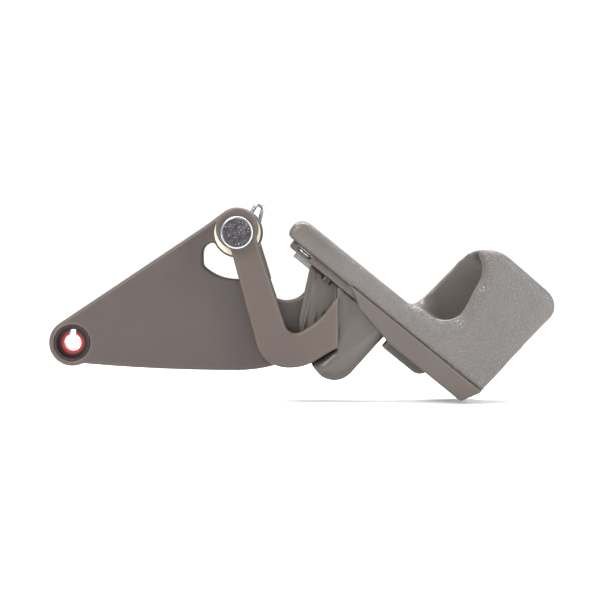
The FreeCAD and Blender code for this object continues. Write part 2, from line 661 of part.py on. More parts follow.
def handle_cover():
    """Grip moulding: the long rail cover with the finger loop standing on its lower end."""
    body = new_body("handle_cover", RAIL)
    side_view = new_sketch(body)
    outline(side_view, "grip_foot_in", [
        ("grip_foot_out", "nose_low_radius", 1), ("grip_nose_in",),
        ("grip_nose_out", "nose_top_radius", 1), ("loop_root_in",),
        ("loop_root_out", "loop_root_radius", -1), ("loop_crown_in",),
        ("loop_crown_out", "loop_crown_radius", 1), ("loop_brow_in",),
        ("loop_brow_out", "loop_brow_radius", 1), ("grip_end",), ("grip_foot_in",)])
    pad(body, side_view, "2 * Sizes.rail_half", both_ways=True)
    side = size("rail_half")

    def shoulder(edge):
        return (at_face(-side)(edge) or at_face(side)(edge)) and box_of(edge).ZMax > 0.01
    fillet(body, shoulder, "grip_edge")
    tunnel = new_sketch(body, "YZ_Plane")
    outline(tunnel, "tunnel_1_in", [
        step for number in (1, 2, 3, 4)
        for step in (("tunnel_%d_out" % number, "tunnel_corner", 1),
                     ("tunnel_%d_in" % (number % 4 + 1),))])
    pocket(body, tunnel, both_ways=True)
    scoop = new_sketch(body, offset=cell("rail_half"))
    outline(scoop, "lip_start", [
        ("lip_foot_in",), ("lip_foot_out", "lip_radius", -1), ("lip_head_in",),
        ("lip_head_out", "lip_radius", -1), ("lip_finish",), ("lip_start",)])
    pocket(body, scoop, "2 * Sizes.tunnel_half", both_ways=True)


def skirt_frame():
    """Frame under the cover: a thin plate, and side walls along its lower end."""
    body = new_body("skirt_frame", RAIL)
    walls = new_sketch(body)
    outline(walls, "skirt_top_left", [
        ("skirt_top_right",), ("skirt_end",), ("skirt_low_right",), ("skirt_low_left",),
        ("skirt_belly",), ("skirt_drop",), ("skirt_cheek",), ("skirt_top_left",)])
    pad(body, walls, "2 * Sizes.rail_half", both_ways=True)
    hollow = new_sketch(body, "XY_Plane", "-Sizes.plate_depth")
    rectangle(hollow, "plate_split_x", "skirt_inner_end", "-skirt_inner_half", "skirt_inner_half")
    pocket(body, hollow)
    plate = new_sketch(body, "XY_Plane", "-Sizes.plate_depth")
    rectangle(plate, "plate_left_x", "plate_overlap_x", "-plate_half", "plate_half")
    pad(body, plate, cell("plate_depth"))

    def plate_end(edge):
        box = box_of(edge)
        return box.XMax < size("plate_left_x") + 0.01 and box.ZLength > 1
    fillet(body, plate_end, "plate_corner")
    slots = new_sketch(body)
    rectangle(slots, "slot_left_x", "slot_right_x", "slot_foot_z", "slot_top_z")
    pocket(body, slots, both_ways=True)


def rope_shoe():
    """Steel wear plate under the frame, hollowed for the rope."""
    body = new_body("rope_shoe", RAIL)
    blank = new_sketch(body)
    rectangle(blank, "shoe_left_x", "shoe_right_x", "shoe_foot_z", "shoe_top_z")
    pad(body, blank, "2 * Sizes.shoe_half", both_ways=True)
    groove = new_sketch(body, "YZ_Plane")
    circle(groove, None, "rope_centre_z", "rope_radius")
    pocket(body, groove, both_ways=True)


def tail_guide():
    """Channel that keeps the rope in line below the lower end of the frame."""
    body = new_body("tail_guide", RAIL)
    blank = new_sketch(body)
    rectangle(blank, "guide_left_x", "guide_right_x", "guide_foot_z", "shoe_top_z")
    pad(body, blank, "2 * Sizes.guide_half", both_ways=True)
    fillet(body, across(size("guide_right_x"), size("guide_foot_z")), "guide_corner")
    way = new_sketch(body, "YZ_Plane")
    rectangle(way, "-guide_inner_half", "guide_inner_half", "guide_cut_z", "guide_web_z")
    pocket(body, way, both_ways=True)


def rail_screws(label, places, face_cell):
    """Pan-head screws that come up through the frame into the cover."""
    screws = []
    for index, (x, y) in enumerate(places):
        name = "%s_%d" % (label, index)
        head = doc.addObject("Part::Cylinder", name + "_head")
        head.setExpression("Radius", cell("screw_head_radius"))
        head.setExpression("Height", cell("screw_head_height"))
        shank = doc.addObject("Part::Cylinder", name + "_shank")
        shank.setExpression("Radius", cell("screw_radius"))
        shank.setExpression("Height", "Sizes.screw_head_height + Sizes.screw_length")
        screw = doc.addObject("Part::Fuse", name)
        screw.Base = head
        screw.Tool = shank
        foot = size(face_cell) - size("screw_head_height")
        screw.Placement = RAIL.multiply(FreeCAD.Placement(Vector(x, y, foot), FreeCAD.Rotation()))
        screws.append(screw)
    group(label, screws)


def make_room(host, *tools):
    """Takes other pieces' own space out of a piece, so that shank and hole agree."""
    for tool in tools:
        piece = doc.getObjectsByLabel(host)[0]
        piece.Label = host + "_before_" + tool
        cut = doc.addObject("Part::Cut", host + "_for_" + tool)
        cut.Base = piece
        cut.Tool = doc.getObjectsByLabel(tool)[0]
        cut.Label = host
        doc.recompute()


def work_out_sizes():
    """Sizes that follow from the driving ones."""
    derived("boss_centre_z", SIZES["pin_z"] + SIZES["arm_boss_rise"])
    derived("bush_bore_radius", SIZES["pin_radius"] + SIZES["running_fit"])
    derived("spacer_near", SIZES["lever_half"] + SIZES["face_gap"])
    derived("tail_washer_far", SIZES["arm_outer"] + SIZES["tail_washer_length"])
    derived("pin_head_far", SIZES["arm_outer"] + SIZES["pin_head_length"])
    derived("sleeve_radius", SIZES["cup_bore_radius"])
    derived("origin_level", 0.0)
    derived("arm_half_gap", SIZES["stop_pin_depth"] + SIZES["cheek_half"])
    derived("plate_overlap_x", SIZES["plate_split_x"] + SIZES["plate_tongue"])
    derived("shoe_top_z", -SIZES["plate_depth"])
    derived("shoe_foot_z", -SIZES["plate_depth"] - SIZES["shoe_depth"])
    derived("rope_centre_z", SIZES["shoe_foot_z"] - SIZES["rope_radius"] + SIZES["rope_bite"])
    derived("guide_web_z", -SIZES["plate_depth"] - SIZES["guide_web"])
    derived("guide_cut_z", SIZES["guide_foot_z"] - 1)
    half = SIZES["cam_tooth_pitch"] / 2
    first = SIZES["cam_left_x"] + SIZES["cam_tooth_pitch"]
    for name, x, z in (("left", first - half, 0.1), ("right", first + half, 0.1),
                       ("root", first, -SIZES["cam_tooth_depth"])):
        derived("tooth_%s_x" % name, x)
        derived("tooth_%s_z" % name, SIZES["cam_top_z"] + z)
    for side, x in (("left", SIZES["cam_left_x"] + SIZES["cam_pin_inset"]),
                    ("right", SIZES["cam_right_x"] - SIZES["cam_pin_inset"])):
        derived("cam_pin_%s_rail_x" % side, x)
        world_x, world_z = rail_point(x, SIZES["cam_pin_z"])
        derived("cam_pin_%s_x" % side, world_x)
        derived("cam_pin_%s_z" % side, world_z)
    doc.recompute()


def check_and_write():
    """Stops on any failed object, then writes one file for each node."""
    doc.recompute()
    for item in doc.Objects:
        if "Invalid" in item.State or "Error" in item.State:
            raise ValueError("this object failed: " + item.Name)
    os.makedirs("parts", exist_ok=True)
    for node in NODES:
        shape = doc.getObjectsByLabel(node)[0].Shape
        if shape.isNull() or not shape.isValid() or not shape.Solids:
            raise ValueError("this shape is not sound: " + node)
        shape.exportStep("parts/%s.step" % node)
        print("%-16s solids %d  volume %.1f mm3" % (node, len(shape.Solids), shape.Volume))


work_out_sizes()
lever_plate()
disc("lever_bush", "pin_x", "pin_z", "bush_radius", "bush_bore_radius",
     "-Sizes.lever_half", "Sizes.lever_half")
eye_cup()
eye_sleeve()
cam_insert()
cam_pins()
arm("front_arm", True)
arm("rear_arm", False)
stop_pin()
arm_screws()
throat_housing()
disc("front_washer", "pin_x", "pin_z", "spacer_radius", "pin_radius",
     "-Sizes.cheek_half", "-Sizes.spacer_near")
disc("rear_washer", "pin_x", "pin_z", "rear_spacer_radius", "pin_radius",
     "Sizes.spacer_near", "Sizes.cheek_half")
disc("tail_washer", "pin_x", "pin_z", "tail_washer_radius", "pin_radius",
     "Sizes.arm_outer", "Sizes.tail_washer_far")
pivot_pin()
hitch_clip()
lever_spring()
handle_cover()
skirt_frame()
rope_shoe()
tail_guide()
rail_screws("shoe_screws", [(size("shoe_screw_left_x"), 0), (size("shoe_screw_right_x"), 0)],
            "shoe_screw_seat_z")
rail_screws("frame_screws", [
    (size(across_x), side * size(across_y))
    for across_x, across_y in (("plate_screw_x", "plate_screw_y"), ("tail_screw_x", "tail_screw_y"))
    for side in (-1, 1)], "shoe_top_z")
make_room("front_arm", "arm_screws")
make_room("rear_arm", "arm_screws")
make_room("throat_housing", "arm_screws")
make_room("rope_shoe", "shoe_screws")
make_room("skirt_frame", "shoe_screws", "frame_screws")
make_room("handle_cover", "shoe_screws", "frame_screws")

NODES = [
    "lever_plate", "lever_bush", "eye_cup", "eye_sleeve", "cam_insert", "cam_pins",
    "front_arm", "rear_arm", "stop_pin", "arm_screws", "throat_housing",
    "front_washer", "rear_washer", "tail_washer", "pivot_pin", "hitch_clip", "lever_spring",
    "handle_cover", "skirt_frame", "rope_shoe", "tail_guide", "shoe_screws", "frame_screws"]
check_and_write()
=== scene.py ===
import json
import math

import bmesh
import bpy
import numpy as np
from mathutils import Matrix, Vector, noise


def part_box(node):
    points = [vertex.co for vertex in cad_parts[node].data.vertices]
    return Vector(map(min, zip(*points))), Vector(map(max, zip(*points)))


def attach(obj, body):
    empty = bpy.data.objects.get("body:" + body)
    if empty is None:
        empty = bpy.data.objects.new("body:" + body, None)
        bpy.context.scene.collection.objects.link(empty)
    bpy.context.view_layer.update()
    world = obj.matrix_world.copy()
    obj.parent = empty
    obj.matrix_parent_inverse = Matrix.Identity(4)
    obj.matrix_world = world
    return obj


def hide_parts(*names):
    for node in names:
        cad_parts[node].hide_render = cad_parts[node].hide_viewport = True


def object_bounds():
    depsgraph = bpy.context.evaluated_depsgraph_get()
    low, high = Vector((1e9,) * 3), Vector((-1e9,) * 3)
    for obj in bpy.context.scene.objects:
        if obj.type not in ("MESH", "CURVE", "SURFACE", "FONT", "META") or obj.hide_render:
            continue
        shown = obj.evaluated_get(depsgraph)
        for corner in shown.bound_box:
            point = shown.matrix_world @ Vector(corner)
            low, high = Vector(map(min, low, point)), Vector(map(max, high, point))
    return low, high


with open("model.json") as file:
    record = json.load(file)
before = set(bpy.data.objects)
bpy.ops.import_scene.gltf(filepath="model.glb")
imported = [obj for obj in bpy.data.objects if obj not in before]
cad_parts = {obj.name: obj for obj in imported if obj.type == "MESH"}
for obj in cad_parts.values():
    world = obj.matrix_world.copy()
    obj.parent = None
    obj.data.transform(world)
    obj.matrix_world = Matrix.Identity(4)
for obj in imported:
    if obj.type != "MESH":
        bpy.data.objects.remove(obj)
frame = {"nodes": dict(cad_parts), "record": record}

MM = 0.001
CAD_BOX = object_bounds()
NODES = frame["nodes"]
RECORD = frame["record"]
SLOT_OF = {part["node"]: part["material_slot"] for part in RECORD["subparts"]}
BODY_OF = {node: body for body, nodes in RECORD["behaviour"]["bodies"].items() for node in nodes}

# The rail's own axes: down the rail and out of its top.
RAIL_TILT = math.radians(39.1)
DOWN_RAIL = Vector((math.cos(RAIL_TILT), 0, -math.sin(RAIL_TILT)))
OUT_OF_RAIL = Vector((math.sin(RAIL_TILT), 0, math.cos(RAIL_TILT)))
RAIL_START = Vector((85.0, 0, 42.75)) * MM

# Where the leather grain begins, and the loop's inside, which has none: metres on the rail's axes.
GRAIN_BEGINS = (0.012, 0.026)
LOOP_FRONT = (0.040, 0.046)
LOOP_FLOOR = (0.0095, 0.0115)
LOOP_ROOF = (0.0438, 0.0428)
LOOP_SIDE = (0.0146, 0.0140)

# The scoop in the loop's front wall and the crown of both walls: millimetres on the rail's axes.
SCOOP_CORNER = 8.5
SCOOP_FLOOR = 10.6
SCOOP_ROOF = 40.6
SCOOP_FRONT = 73.4
SCOOP_RISE = 30.0
SCOOP_LEAN = 6.0
CROWN_HEART = (74.0, 17.0)
CROWN_REACH = (25.0, 27.0)
CROWN_FALL = 1.8
LIP_FALL = 2.1
COVER_SINK = 0.35

# The arms' feet and the lobe face they stand on: millimetres along X.
FOOT_KEPT = (102.5, 99.0)
FOOT_SUNK = (102.6, 103.8)
FOOT_DEPTH = 0.5
LOBE_FACE = 104.15

# The throat's bevelled facets, as lines in X and Z, and the ribs on its cheeks: millimetres.
TOE_LINE = ((107.2, -4.5), (118.1, 4.2))
TOE_SLOPE = -0.3
TOE_DEPTH = 2.6
FORK_LINE = ((105.3, 1.0), (111.2, 11.2))
FORK_SLOPE = 0.25
FORK_DEPTH = 0.8
CHEEK_CORNER = (14.3, -3.55)
CHEEK_EDGE_WAY = (0.894, 0.447)
RIB_INSETS = (2.6, 6.0)
RIB_WIDTH = 0.5
RIB_HEIGHT = 0.8

# The coarse face of the pin's head: millimetres, and a count of rings.
PIN_FACE_SINK = 0.26
PIN_FACE_RADIUS = 5.55
PIN_FACE_DEPTH = 0.22
PIN_FACE_RINGS = 22
PIN_FACE_GRAIN = 1500.0

# The latch strip, from corner to corner: millimetres down the rail, across it and out of it.
STRIP_LOW = (6.3, -13.5, -2.3)
STRIP_HIGH = (12.7, 13.5, -1.1)
STRIP_EDGE = 0.3

# The studio's floor, which bends up into a wall: metres.
FLOOR_FRONT = -3.0
FLOOR_BACK = 0.9
FLOOR_HALF_WIDTH = 4.0
FLOOR_GAP = 1.0 * MM
BEND_RADIUS = 0.5
BEND_STEPS = 12
WALL_TOP = 3.0

# The camera: a long lens, moved back and lengthened in the same proportion.
CAMERA_DISTANCE = 0.95
CAMERA_LENS = 85 * CAMERA_DISTANCE / 0.55
CAMERA_LIFT = math.radians(1.6)
CAMERA_AIM = Vector((98.9, 1.7, 39.6)) * MM

# Places of the colours and of the result among a Mix node's sockets.
MIX_FIRST = 6
MIX_SECOND = 7
MIX_RESULT = 2


def on_rail(down, across, out):
    """A place given in millimetres down the rail, across it and out of its top."""
    return RAIL_START + DOWN_RAIL * down * MM + Vector((0, across * MM, 0)) + OUT_OF_RAIL * out * MM


# ---------------------------------------------------------------- node wiring

def add(tree, kind, **sockets):
    """A node with its sockets set, or linked where the value is another node's output."""
    node = tree.nodes.new(kind)
    for name, value in sockets.items():
        wire(tree, node, name.replace("_", " "), value)
    return node


def feed(tree, socket, value):
    """Links a socket to another node's output, or sets its value."""
    if isinstance(value, bpy.types.NodeSocket):
        tree.links.new(value, socket)
    else:
        socket.default_value = value


def wire(tree, node, name, value):
    feed(tree, node.inputs[name], value)


def maths(tree, operation, first, second=0.0, clamp=False):
    node = tree.nodes.new("ShaderNodeMath")
    node.operation = operation
    node.use_clamp = clamp
    feed(tree, node.inputs[0], first)
    feed(tree, node.inputs[1], second)
    return node.outputs[0]


def spread(tree, value, low, high, to_low=0.0, to_high=1.0):
    node = tree.nodes.new("ShaderNodeMapRange")
    for name, number in (("Value", value), ("From Min", low), ("From Max", high),
                         ("To Min", to_low), ("To Max", to_high)):
        wire(tree, node, name, number)
    return node.outputs["Result"]


def blend_colours(tree, factor, first, second, kind="MIX"):
    node = tree.nodes.new("ShaderNodeMix")
    node.data_type = "RGBA"
    node.blend_type = kind
    wire(tree, node, "Factor", factor)
    feed(tree, node.inputs[MIX_FIRST], first)
    feed(tree, node.inputs[MIX_SECOND], second)
    return node.outputs[MIX_RESULT]


def bump(tree, height, strength, distance, under=None):
    node = add(tree, "ShaderNodeBump", Strength=strength, Distance=distance, Height=height)
    if under is not None:
        wire(tree, node, "Normal", under)
    return node.outputs["Normal"]


def grain_noise(tree, scale, detail=2.0, roughness=0.5, stretch=None):
    place = tree.nodes.new("ShaderNodeTexCoord").outputs["Object"]
    if stretch is not None:
        turn = add(tree, "ShaderNodeMapping", Scale=stretch)
        wire(tree, turn, "Vector", place)
        place = turn.outputs["Vector"]
    texture = add(tree, "ShaderNodeTexNoise", Scale=scale, Detail=detail, Roughness=roughness)
    wire(tree, texture, "Vector", place)
    return texture.outputs["Fac"]


def new_group(name, inputs, outputs):
    """An empty node group: inputs are (name, kind, default), outputs are (name, kind)."""
    group = bpy.data.node_groups.new(name, "ShaderNodeTree")
    for label, kind, default in inputs:
        socket = group.interface.new_socket(name=label, in_out="INPUT", socket_type=kind)
        socket.default_value = default
    for label, kind in outputs:
        group.interface.new_socket(name=label, in_out="OUTPUT", socket_type=kind)
    return group, group.nodes.new("NodeGroupInput").outputs, group.nodes.new("NodeGroupOutput").inputs


def place_group(tree, group, **values):
    node = tree.nodes.new("ShaderNodeGroup")
    node.node_tree = group
    for name, value in values.items():
        wire(tree, node, name.replace("_", " "), value)
    return node.outputs


FLOAT, COLOUR, NORMAL = "NodeSocketFloat", "NodeSocketColor", "NodeSocketVector"


def edge_highlight_group():
    """Mask of convex edges, broken up by noise, for painted highlights along rounded edges."""
    group, given, put = new_group(
        "edge_highlight", [("Width", FLOAT, 1.2 * MM), ("Sharpness", FLOAT, 6.0), ("Break up", FLOAT, 0.35)],
        [("Edge", FLOAT)])
    soft = group.nodes.new("ShaderNodeBevel")
    soft.samples = 4
    group.links.new(given["Width"], soft.inputs["Radius"])
    true_normal = group.nodes.new("ShaderNodeNewGeometry").outputs["Normal"]
    dot = group.nodes.new("ShaderNodeVectorMath")
    dot.operation = "DOT_PRODUCT"
    group.links.new(soft.outputs["Normal"], dot.inputs[0])
    group.links.new(true_normal, dot.inputs[1])
    turned = maths(group, "SUBTRACT", 1.0, dot.outputs["Value"])
    strong = maths(group, "MULTIPLY", turned, given["Sharpness"], clamp=True)
    patchy = spread(group, grain_noise(group, 260.0, 3.0), 0.3, 0.7)
    kept = maths(group, "MULTIPLY", patchy, given["Break up"])
    whole = maths(group, "SUBTRACT", 1.0, given["Break up"])
    group.links.new(maths(group, "MULTIPLY", strong, maths(group, "ADD", kept, whole)), put["Edge"])
    return group


def colour_drift_group():
    """A colour that drifts slowly and carries fine speckle, as filled mouldings do."""
    group, given, put = new_group(
        "colour_drift", [("Colour", COLOUR, (0.2, 0.2, 0.2, 1)), ("Drift", FLOAT, 0.1),
                         ("Speckle", FLOAT, 0.08)],
        [("Colour", COLOUR), ("Cloud", FLOAT)])
    cloud = grain_noise(group, 28.0, 4.0, 0.6)
    fine = grain_noise(group, 1900.0, 1.0)
    darker = blend_colours(group, 1.0, given["Colour"], (0.72, 0.7, 0.68, 1), "MULTIPLY")
    lighter = blend_colours(group, 1.0, given["Colour"], (1.25, 1.23, 1.2, 1), "MULTIPLY")
    slow = blend_colours(group, spread(group, cloud, 0.3, 0.7), darker, lighter)
    drifted = blend_colours(group, given["Drift"], given["Colour"], slow)
    dots = blend_colours(group, spread(group, fine, 0.35, 0.65), darker, lighter)
    group.links.new(blend_colours(group, given["Speckle"], drifted, dots), put["Colour"])
    group.links.new(cloud, put["Cloud"])
    return group


def moulded_grain_group():
    """Surface of a moulding: fine spark-eroded grain over very shallow waves."""
    group, given, put = new_group(
        "moulded_grain", [("Grain size", FLOAT, 1600.0), ("Depth", FLOAT, 0.25), ("Waves", FLOAT, 0.2)],
        [("Normal", NORMAL)])
    place = group.nodes.new("ShaderNodeTexCoord").outputs["Object"]
    texture = add(group, "ShaderNodeTexNoise", Detail=2.0, Roughness=0.6)
    group.links.new(place, texture.inputs["Vector"])
    group.links.new(given["Grain size"], texture.inputs["Scale"])
    waves = bump(group, grain_noise(group, 45.0, 2.0), given["Waves"], 0.4 * MM)
    fine = bump(group, texture.outputs["Fac"], given["Depth"], 0.06 * MM, waves)
    group.links.new(fine, put["Normal"])
    return group


def leather_grain_group():
    """Etched leather grain: pebbles of mixed size with shallow valleys between them."""
    group, given, put = new_group(
        "leather_grain", [("Pebbles per metre", FLOAT, 900.0), ("Depth", FLOAT, 0.6)],
        [("Normal", NORMAL), ("Valley", FLOAT)])
    place = group.nodes.new("ShaderNodeTexCoord").outputs["Object"]
    stir = add(group, "ShaderNodeTexNoise", Scale=380.0, Detail=2.0)
    group.links.new(place, stir.inputs["Vector"])
    shifted = group.nodes.new("ShaderNodeVectorMath")
    shifted.operation = "MULTIPLY_ADD"
    group.links.new(stir.outputs["Color"], shifted.inputs[0])
    shifted.inputs[1].default_value = (0.0012, 0.0012, 0.0012)
    group.links.new(place, shifted.inputs[2])
    cells = group.nodes.new("ShaderNodeTexVoronoi")
    cells.feature = "DISTANCE_TO_EDGE"
    group.links.new(shifted.outputs["Vector"], cells.inputs["Vector"])
    group.links.new(given["Pebbles per metre"], cells.inputs["Scale"])
    valley = spread(group, cells.outputs["Distance"], 0.0, 0.22, 1.0, 0.0)
    pebble = maths(group, "SUBTRACT", 1.0, valley)
    rough = maths(group, "MULTIPLY", grain_noise(group, 2600.0, 2.0), 0.5)
    height = maths(group, "ADD", pebble, rough)
    waves = bump(group, grain_noise(group, 50.0, 2.0), 0.25, 0.5 * MM)
    group.links.new(bump(group, height, given["Depth"], 0.11 * MM, waves), put["Normal"])
    group.links.new(valley, put["Valley"])
    return group


def brushed_metal_group():
    """Drawn or ground metal: streaks along one way, with pits and duller patches."""
    group, given, put = new_group(
        "brushed_metal", [("Streaks", FLOAT, 0.25), ("Pits", FLOAT, 0.3), ("Base roughness", FLOAT, 0.28)],
        [("Normal", NORMAL), ("Roughness", FLOAT), ("Tarnish", FLOAT)])
    streak = grain_noise(group, 500.0, 3.0, 0.6, (6.0, 0.5, 6.0))
    pit = spread(group, grain_noise(group, 1500.0, 2.0), 0.62, 0.72)
    lines = bump(group, streak, given["Streaks"], 0.05 * MM)
    dents = bump(group, maths(group, "MULTIPLY", pit, -1.0), given["Pits"], 0.08 * MM, lines)
    group.links.new(dents, put["Normal"])
    cloud = spread(group, grain_noise(group, 160.0, 4.0), 0.35, 0.7)
    extra = maths(group, "MULTIPLY", cloud, 0.16)
    group.links.new(maths(group, "ADD", given["Base roughness"], extra, clamp=True), put["Roughness"])
    group.links.new(cloud, put["Tarnish"])
    return group


EDGE_HIGHLIGHT = edge_highlight_group()
COLOUR_DRIFT = colour_drift_group()
MOULDED_GRAIN = moulded_grain_group()
LEATHER_GRAIN = leather_grain_group()
BRUSHED_METAL = brushed_metal_group()


# ---------------------------------------------------------------- materials

def new_material(name):
    material = bpy.data.materials.new(name)
    material.use_nodes = True
    shader = material.node_tree.nodes["Principled BSDF"]
    return material, material.node_tree, shader


def smooth_moulding(name, colour, edge_highlight_colour, roughness=0.46, drift=0.35, gloss=0.45):
    """Filled nylon off a polished tool, with a painted highlight along its rounded edges."""
    material, tree, shader = new_material(name)
    drifted = place_group(tree, COLOUR_DRIFT, Colour=colour, Drift=drift, Speckle=0.12)
    edge = place_group(tree, EDGE_HIGHLIGHT, Width=1.5 * MM, Sharpness=5.0, Break_up=0.25)["Edge"]
    grain = place_group(tree, MOULDED_GRAIN, Grain_size=1700.0, Depth=0.3, Waves=0.22)
    # Painted highlight: the rounded edges are blended towards a lighter colour.
    tree.links.new(blend_colours(tree, maths(tree, "MULTIPLY", edge, 0.75), drifted["Colour"], edge_highlight_colour),
                   shader.inputs["Base Color"])
    tree.links.new(spread(tree, drifted["Cloud"], 0.3, 0.7, roughness - 0.05, roughness + 0.09),
                   shader.inputs["Roughness"])
    tree.links.new(grain["Normal"], shader.inputs["Normal"])
    shader.inputs["Specular IOR Level"].default_value = gloss
    return material


def along(tree, place, axis):
    """Metres from the rail's start along one of its axes."""
    dot = tree.nodes.new("ShaderNodeVectorMath")
    dot.operation = "DOT_PRODUCT"
    tree.links.new(place, dot.inputs[0])
    dot.inputs[1].default_value = axis
    return maths(tree, "SUBTRACT", dot.outputs["Value"], RAIL_START.dot(axis))


def grained_moulding(name, colour, edge_highlight_colour, roughness=0.36):
    """The grip's etched leather grain, with tiny glints on the pebbles."""
    material, tree, shader = new_material(name)
    drifted = place_group(tree, COLOUR_DRIFT, Colour=colour, Drift=0.3, Speckle=0.35)
    where = tree.nodes.new("ShaderNodeTexCoord").outputs["Object"]
    begun = spread(tree, along(tree, where, DOWN_RAIL), *GRAIN_BEGINS)
    level = along(tree, where, OUT_OF_RAIL)
    inside = maths(tree, "MULTIPLY", spread(tree, level, *LOOP_FLOOR), spread(tree, level, *LOOP_ROOF))
    sides = tree.nodes.new("ShaderNodeSeparateXYZ")
    tree.links.new(where, sides.inputs["Vector"])
    between = spread(tree, maths(tree, "ABSOLUTE", sides.outputs["Y"]), *LOOP_SIDE)
    inside = maths(tree, "MULTIPLY", inside, between)
    inside = maths(tree, "MULTIPLY", inside, spread(tree, along(tree, where, DOWN_RAIL), *LOOP_FRONT))
    grained = maths(tree, "MULTIPLY", begun, maths(tree, "SUBTRACT", 1.0, inside))
    leather = place_group(tree, LEATHER_GRAIN, Pebbles_per_metre=820.0, Depth=grained)
    edge = place_group(tree, EDGE_HIGHLIGHT, Width=1.6 * MM, Sharpness=2.5, Break_up=0.5)["Edge"]
    # The ungrained skin, at the rail's nose and inside the loop, is painted darker and warmer; inside the
    # loop this darkening is painted shade.
    smooth_skin_and_shade = (colour[0] * 0.9, colour[1] * 0.83, colour[2] * 0.79, 1)
    skin = blend_colours(tree, grained, smooth_skin_and_shade, drifted["Colour"])
    # Painted shade darkens the valleys between the pebbles.
    shaded = blend_colours(tree, maths(tree, "MULTIPLY", leather["Valley"], 0.3), skin,
                           (colour[0] * 0.5, colour[1] * 0.5, colour[2] * 0.5, 1))
    # Painted highlight: the rounded edges are blended towards a lighter grey.
    tree.links.new(blend_colours(tree, maths(tree, "MULTIPLY", edge, 0.5), shaded, edge_highlight_colour),
                   shader.inputs["Base Color"])
    tree.links.new(spread(tree, leather["Valley"], 0.0, 1.0, roughness - 0.08, roughness + 0.16),
                   shader.inputs["Roughness"])
    tree.links.new(leather["Normal"], shader.inputs["Normal"])
    shader.inputs["Specular IOR Level"].default_value = 0.6
    return material


def plain_metal(name, colour, tarnish_colour, roughness=0.26, streaks=0.25, pits=0.3, tarnish=0.4):
    material, tree, shader = new_material(name)
    metal = place_group(tree, BRUSHED_METAL, Streaks=streaks, Pits=pits, Base_roughness=roughness)
    tree.links.new(blend_colours(tree, maths(tree, "MULTIPLY", metal["Tarnish"], tarnish), colour,
                                 tarnish_colour), shader.inputs["Base Color"])
    tree.links.new(metal["Roughness"], shader.inputs["Roughness"])
    tree.links.new(metal["Normal"], shader.inputs["Normal"])
    shader.inputs["Metallic"].default_value = 1.0
    return material


def eye_red(name, bright, dark):
    """Glossy red round the keyhole, sinking into a dark ring where it meets the cup."""
    material, tree, shader = new_material(name)
    sides = tree.nodes.new("ShaderNodeSeparateXYZ")
    tree.links.new(tree.nodes.new("ShaderNodeTexCoord").outputs["Object"], sides.inputs["Vector"])
    square = maths(tree, "ADD", maths(tree, "POWER", maths(tree, "ABSOLUTE", sides.outputs["X"]), 2.0),
                   maths(tree, "POWER", maths(tree, "ABSOLUTE", sides.outputs["Z"]), 2.0))
    ring = spread(tree, maths(tree, "SQRT", square), 3.6 * MM, 4.9 * MM)
    drifted = place_group(tree, COLOUR_DRIFT, Colour=bright, Drift=0.3, Speckle=0.1)
    tree.links.new(blend_colours(tree, ring, drifted["Colour"], dark), shader.inputs["Base Color"])
    tree.links.new(spread(tree, ring, 0.0, 1.0, 0.18, 0.5), shader.inputs["Roughness"])
    grain = place_group(tree, MOULDED_GRAIN, Grain_size=1700.0, Depth=0.15, Waves=0.2)
    tree.links.new(grain["Normal"], shader.inputs["Normal"])
    return material


def struck_head(name):
    """Dark, coarse face of the pin's forged head, with bright specks where it is rubbed."""
    material, tree, shader = new_material(name)
    coarse = grain_noise(tree, 900.0, 5.0, 0.75)
    speck = spread(tree, coarse, 0.6, 0.7)
    blotch = spread(tree, grain_noise(tree, 320.0, 3.0), 0.35, 0.65)
    dull = blend_colours(tree, blotch, (0.012, 0.009, 0.012, 1), (0.045, 0.037, 0.043, 1))
    tree.links.new(blend_colours(tree, speck, dull, (0.3, 0.29, 0.3, 1)), shader.inputs["Base Color"])
    tree.links.new(spread(tree, speck, 0.0, 1.0, 0.55, 0.3), shader.inputs["Roughness"])
    tree.links.new(bump(tree, coarse, 0.8, 0.25 * MM), shader.inputs["Normal"])
    tree.links.new(spread(tree, speck, 0.0, 1.0, 0.15, 0.8), shader.inputs["Metallic"])
    return material
